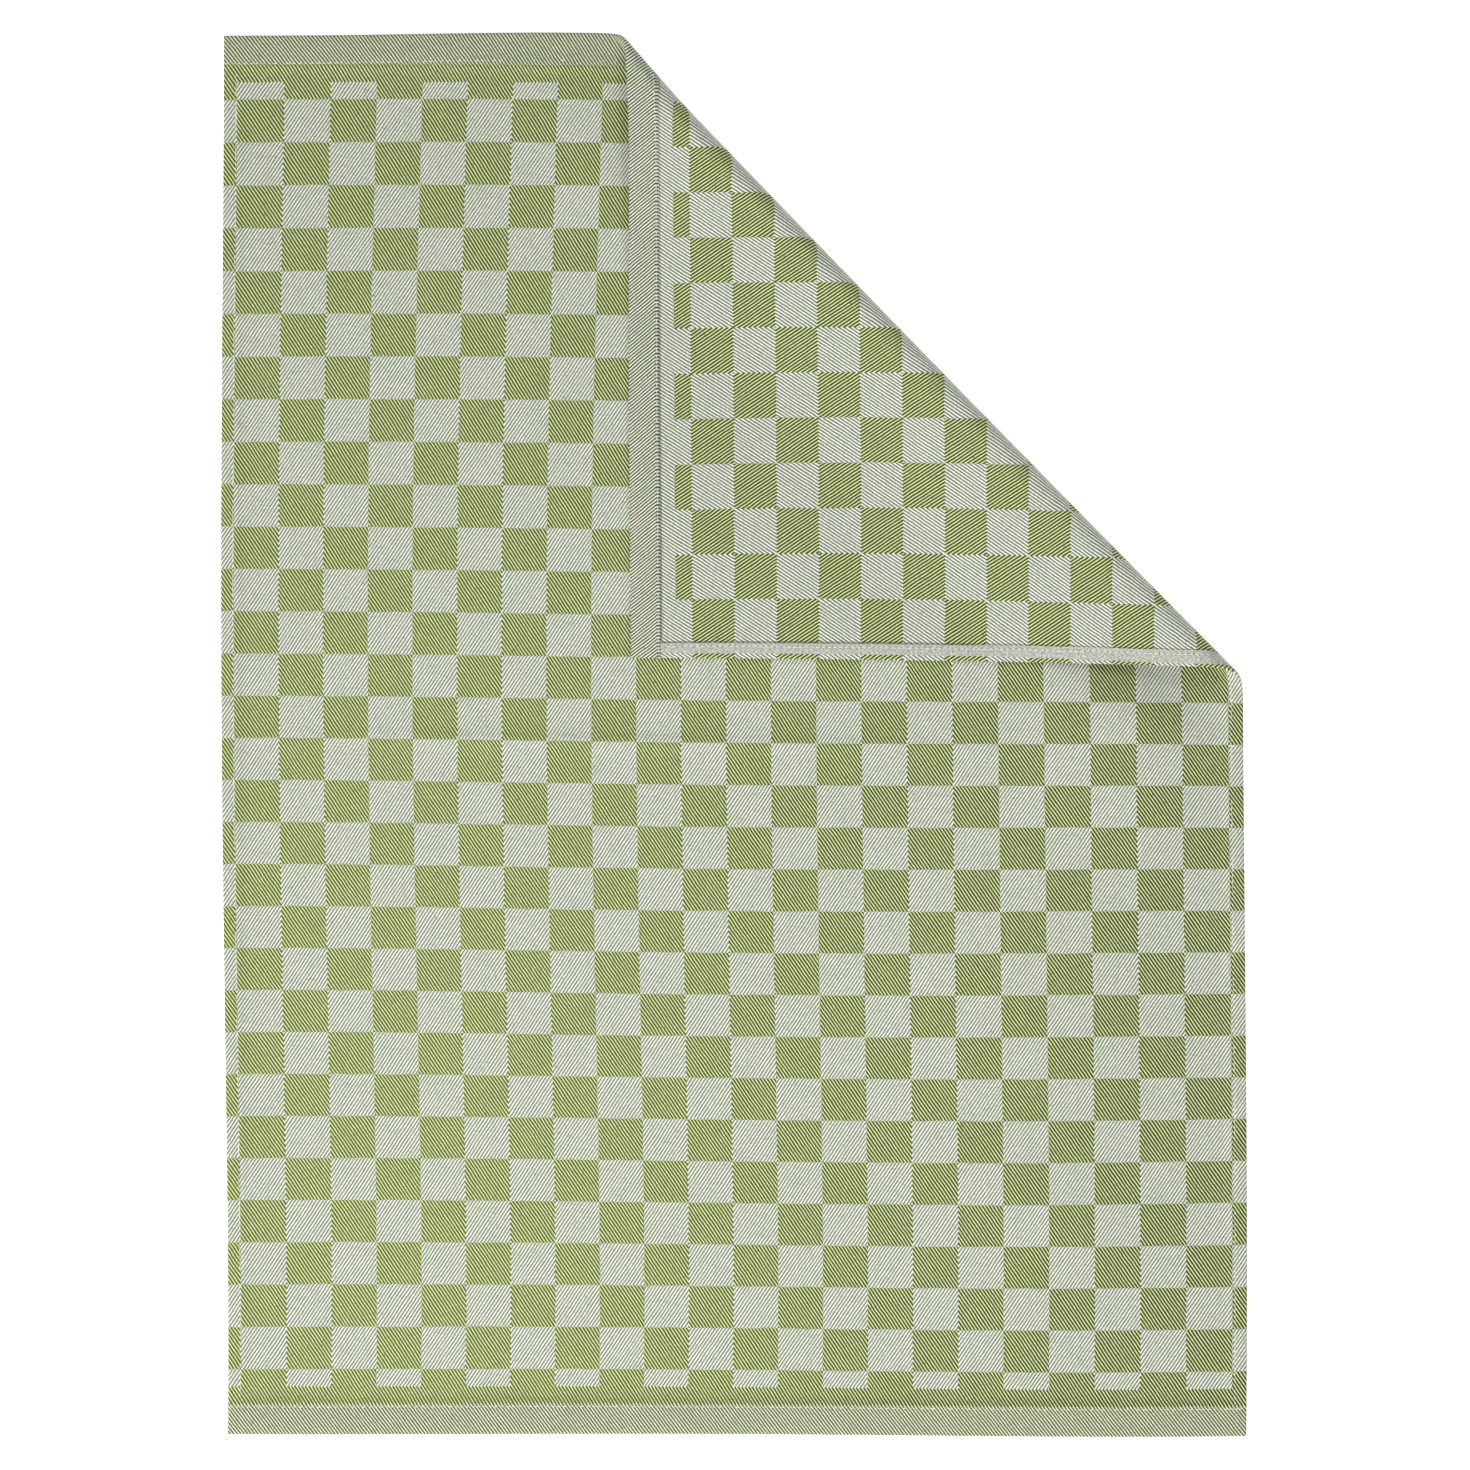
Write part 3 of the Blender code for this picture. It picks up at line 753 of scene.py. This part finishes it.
def damask_twill(name, reverse):
    """Cotton twill woven double-faced, green warp and off-white weft.  A check shows the warp on one side
    and the weft on the other, so each side is the other's negative, and the diagonals turn with the check."""
    material, shader, add, link = new_material(name)
    cloth = add("UVMap", uv_map="cloth metres")
    drift = add("SeparateColor", add("TexNoise", named={
        "Vector": cloth, "Scale": 1 / DRIFT_SIZE, "Detail": 2.0, "Roughness": 0.6})[1])
    place = add("SeparateXYZ", cloth)
    u = add("Math", drift[0], DRIFT, place[0], operation="MULTIPLY_ADD")
    v = add("Math", drift[1], DRIFT, place[1], operation="MULTIPLY_ADD")
    weave = woven(add, u, v, reverse)
    # light carries painted shade, from the twill's shaded furrows, the threads' shaded sides and the turned
    # edges' shade, together with the threads' own tones
    wale, light = twill_lines(add, weave, place, reverse)
    round_top = round_threads(add, weave)
    # the painted shade on the threads' sides darkens the light too
    light = add("Math", light, round_top, operation="MULTIPLY")
    light = add("Math", light, thread_tone(add, weave, cloth), operation="MULTIPLY")
    colour = yarn_colour(add, weave, cloth, reverse)
    if reverse:
        edge = add("Math", add("Math", u, -WIDTH / 2, operation="ADD"), operation="ABSOLUTE")
        colour, light = show_selvedge(add, weave, cloth, edge, v, colour, light)
        light = paint_turn_shade(add, edge, v, light)
    shade = add("CombineColor", light, light, light)
    colour = add("Mix", 1.0, named={6: colour, 7: shade}, data_type="RGBA", blend_type="MULTIPLY")[2]
    link(colour, shader.inputs["Base Color"])
    height = add("Math", wale, 0.5, round_top, operation="MULTIPLY_ADD")
    bump = add("Bump", named={"Strength": 0.35, "Distance": THREAD_RELIEF, "Height": height})
    link(bump, shader.inputs["Normal"])
    shader.inputs["Roughness"].default_value = 0.92
    shader.inputs["Specular IOR Level"].default_value = 0.25
    shader.inputs["Sheen Weight"].default_value = 0.12
    shader.inputs["Sheen Roughness"].default_value = 0.6
    return material


def sewing_thread():
    """Three-ply spun cotton thread, matt with a fine twist."""
    material, shader, add, link = new_material("spun cotton sewing thread")
    place = add("TexCoord")[3]
    twist = add("TexWave", named={"Vector": place, "Scale": THREAD_TWIST, "Distortion": 1.0},
                bands_direction="DIAGONAL")
    colour = add("Mix", twist[1], named={
        6: linear(THREAD_CREAM), 7: linear(THREAD_SHADE)}, data_type="RGBA")[2]
    link(colour, shader.inputs["Base Color"])
    link(add("Bump", named={"Strength": 0.4, "Distance": THREAD_RELIEF, "Height": twist[1]}),
         shader.inputs["Normal"])
    shader.inputs["Roughness"].default_value = 0.75
    shader.inputs["Specular IOR Level"].default_value = 0.3
    return material


def white_acrylic():
    """White acrylic sheet, lit from below too as on a photographer's table, which keeps shadows faint."""
    material, shader, add, link = new_material("white acrylic")
    place = add("TexCoord")[3]
    mottle = add("TexNoise", named={"Vector": place, "Scale": 1 / MOTTLE_SIZE, "Detail": 2.0})[0]
    dim, bright = (linear(white) for white in ACRYLIC_WHITES)
    colour = add("Mix", mottle, named={6: dim, 7: bright}, data_type="RGBA")[2]
    link(colour, shader.inputs["Base Color"])
    shader.inputs["Emission Color"].default_value = linear("#FFFFFF")
    shader.inputs["Emission Strength"].default_value = GLOW
    shader.inputs["Roughness"].default_value = 0.7
    shader.inputs["Specular IOR Level"].default_value = 0.1
    return material


def build_floor():
    """The surface that the towel lies on."""
    bpy.ops.object.select_all(action="DESELECT")
    bpy.ops.mesh.primitive_plane_add(size=FLOOR_SIZE, location=(0, 0, -FLOOR_GAP))
    floor = bpy.context.object
    floor.name = "floor"
    floor.data.materials.append(white_acrylic())
    return floor


def build_lights():
    """A slanting key light, a weaker one across the fold, a softbox close above and a white room."""
    for name, azimuth, elevation, distance, size, power in LIGHTS:
        light = bpy.data.lights.new(name, "AREA")
        light.size = size
        light.energy = power
        lamp = bpy.data.objects.new(name, light)
        bpy.context.scene.collection.objects.link(lamp)
        turn, rise = math.radians(azimuth), math.radians(elevation)
        towards = Vector((math.cos(turn) * math.cos(rise), math.sin(turn) * math.cos(rise), math.sin(rise)))
        lamp.location = towards * distance
        lamp.rotation_mode = "QUATERNION"
        lamp.rotation_quaternion = towards.to_track_quat("Z", "Y")
    world = bpy.data.worlds.new("white room")
    world.use_nodes = True
    world.node_tree.nodes["Background"].inputs["Color"].default_value = linear("#FFFFFF")
    world.node_tree.nodes["Background"].inputs["Strength"].default_value = ROOM_LIGHT
    bpy.context.scene.world = world
    bpy.context.scene.view_settings.view_transform = "Standard"


def build_camera(middle):
    """Straight above, with the photograph's frame on the plane that the towel lies on."""
    data = bpy.data.cameras.new("camera above")
    data.sensor_width = SENSOR
    data.lens = SENSOR * CAMERA_HEIGHT / FRAME_SIZE
    camera = bpy.data.objects.new("camera above", data)
    camera.location = (FRAME_MIDDLE[0] - middle[0], FRAME_MIDDLE[1] - middle[1], CAMERA_HEIGHT)
    bpy.context.scene.collection.objects.link(camera)
    bpy.context.scene.camera = camera


def centre_on(pieces, box):
    """Moves the pieces in plan, the first one's middle to the CAD towel's, and gives where it was."""
    spots = [vert.co for vert in pieces[0].data.vertices]
    shift = [
        (box[0][axis] + box[1][axis]) / 2 - (min(p[axis] for p in spots) + max(p[axis] for p in spots)) / 2
        for axis in (0, 1)
    ]
    for piece in pieces:
        for vert in piece.data.vertices:
            vert.co.x += shift[0]
            vert.co.y += shift[1]
    return -shift[0], -shift[1]


face_twill = damask_twill("cotton damask twill, face", reverse=False)
reverse_twill = damask_twill("cotton damask twill, reverse", reverse=True)
cloth = build_cloth(face_twill, reverse_twill)
stitches = build_stitches(sewing_thread())
middle = centre_on([cloth, stitches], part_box("towel"))
build_floor()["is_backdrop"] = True
build_lights()
build_camera(middle)

for piece, slot in ((cloth, "cotton_twill"), (stitches, "sewing_thread")):
    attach(piece, "root")
    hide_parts("towel")

sizes = {"cad": cad_bounds, "visual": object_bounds()}
{name: [list(corner) for corner in box] for name, box in sizes.items()}
